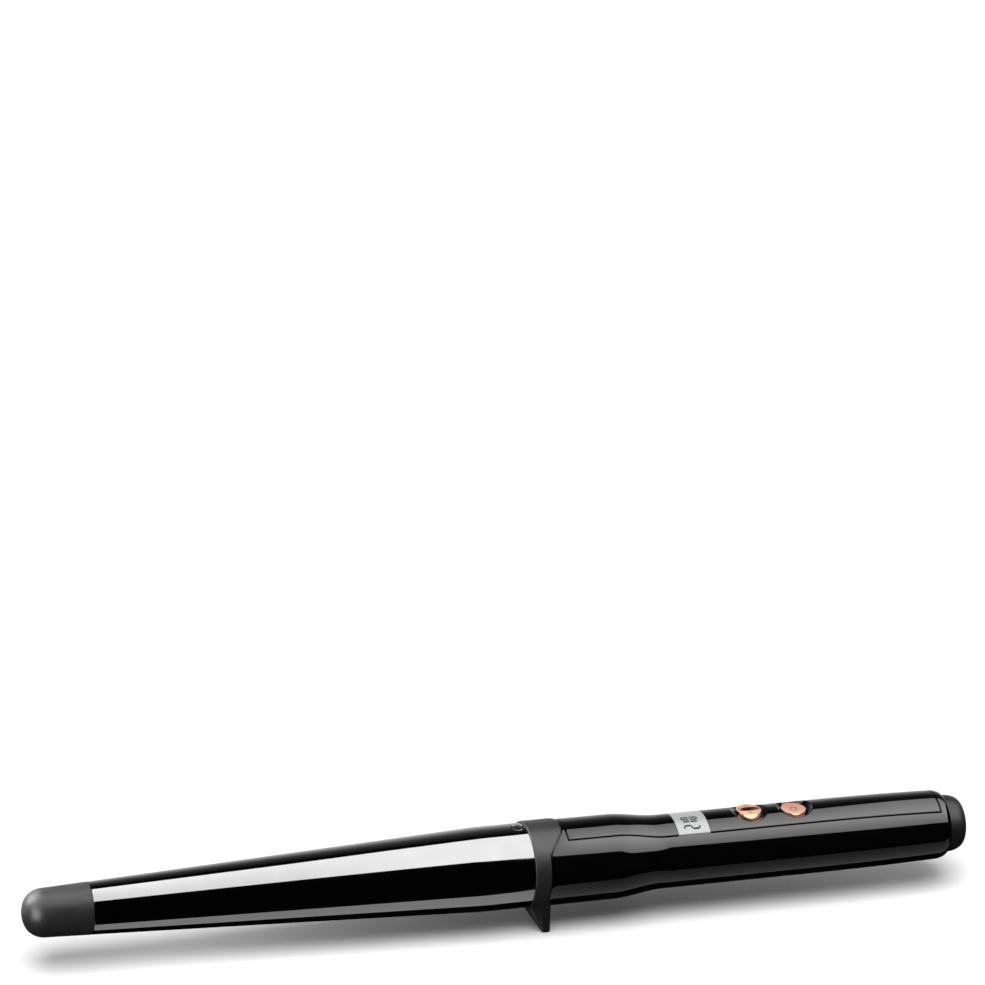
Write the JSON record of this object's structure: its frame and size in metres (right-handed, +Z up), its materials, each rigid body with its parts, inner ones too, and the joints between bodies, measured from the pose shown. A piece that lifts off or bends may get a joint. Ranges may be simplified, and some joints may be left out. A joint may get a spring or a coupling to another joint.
{
  "type": "curling wand",
  "caption": "Conical curling wand with a cool tip, hand guard with V foot, slim waisted handle, display window, rocker and power keys and a swivel cord bush.",
  "frame": {"origin": "middle of the small flat under the guard's V foot", "axes": "+X along the wand from the cool tip to the handle's end, +Z up towards the display and keys"},
  "size_m": [0.3783, 0.034, 0.0466],
  "materials": {
    "coated_barrel": "dark polished titanium coating",
    "soft_black": "fine matte, heat resistant",
    "gloss_black": "high gloss",
    "rose_gold": "polished rose gold",
    "display_lens": "clear",
    "lcd": "silver reflective display",
    "steel": "zinc plated",
    "aluminium": "extruded",
    "brass": "plain",
    "ceramic": "unglazed",
    "mica": "mica sheet",
    "nylon": "glass filled nylon",
    "board": "solder mask green",
    "component": "moulded",
    "capacitor": "box film capacitor",
    "fuse_glass": "clear",
    "sleeve_red": "silicone sleeve",
    "sleeve_white": "silicone sleeve",
    "sleeve_blue": "silicone sleeve"
  },
  "bodies": {
    "wand_body": {"tip_cap": "soft_black", "barrel": "coated_barrel", "barrel_support": "nylon", "barrel_screw_top": "steel", "barrel_screw_bottom": "steel", "support_screw_left": "steel", "support_screw_right": "steel", "heater_shoe_upper": "aluminium", "heater_shoe_lower": "aluminium", "electrode_upper": "brass", "electrode_lower": "brass", "mica_sheet_upper": "mica", "mica_sheet_lower": "mica", "ptc_chip_front": "ceramic", "ptc_chip_middle": "ceramic", "ptc_chip_rear": "ceramic", "thermistor": "fuse_glass", "thermal_fuse": "ceramic", "guard": "soft_black", "handle_body": "gloss_black", "top_cover": "gloss_black", "display_window": "display_lens", "rocker_pin": "steel", "power_switch": "component", "switch_up": "component", "switch_down": "component", "lcd_panel": "lcd", "lcd_frame": "nylon", "control_board": "board", "board_screw_front": "steel", "board_screw_rear": "steel", "microcontroller": "component", "mains_capacitor": "capacitor", "triac": "component", "mains_fuse": "fuse_glass", "end_cap": "soft_black", "brush_carrier": "nylon", "brush_live": "brass", "brush_neutral": "brass", "heater_lead_live": "sleeve_red", "heater_lead_neutral": "sleeve_blue", "sensor_lead": "sleeve_white", "mains_lead_live": "sleeve_red", "mains_lead_neutral": "sleeve_blue"},
    "temperature_rocker": {"temperature_rocker": "rose_gold"},
    "power_button": {"power_button": "rose_gold", "power_plunger": "component"},
    "cord_swivel": {"cord_swivel": "soft_black", "slip_ring_live": "brass", "slip_ring_neutral": "brass"}
  },
  "joints": [
    {"name": "rocker_tilt", "type": "hinge", "parent": "wand_body", "child": "temperature_rocker", "pos_m": [0.0816, 0, 0.0398], "axis": [1, 0, 0], "range_deg": [-4, 4], "stiffness_Nm_per_rad": 0.01},
    {"name": "power_press", "type": "slide", "parent": "wand_body", "child": "power_button", "axis": [0, 0, -1], "range_m": [0, 0.0006], "stiffness_N_per_m": 800},
    {"name": "cord_turn", "type": "hinge", "parent": "wand_body", "child": "cord_swivel", "pos_m": [0.1714, 0, 0.0296], "axis": [1, 0, 0], "continuous": true}
  ]
}
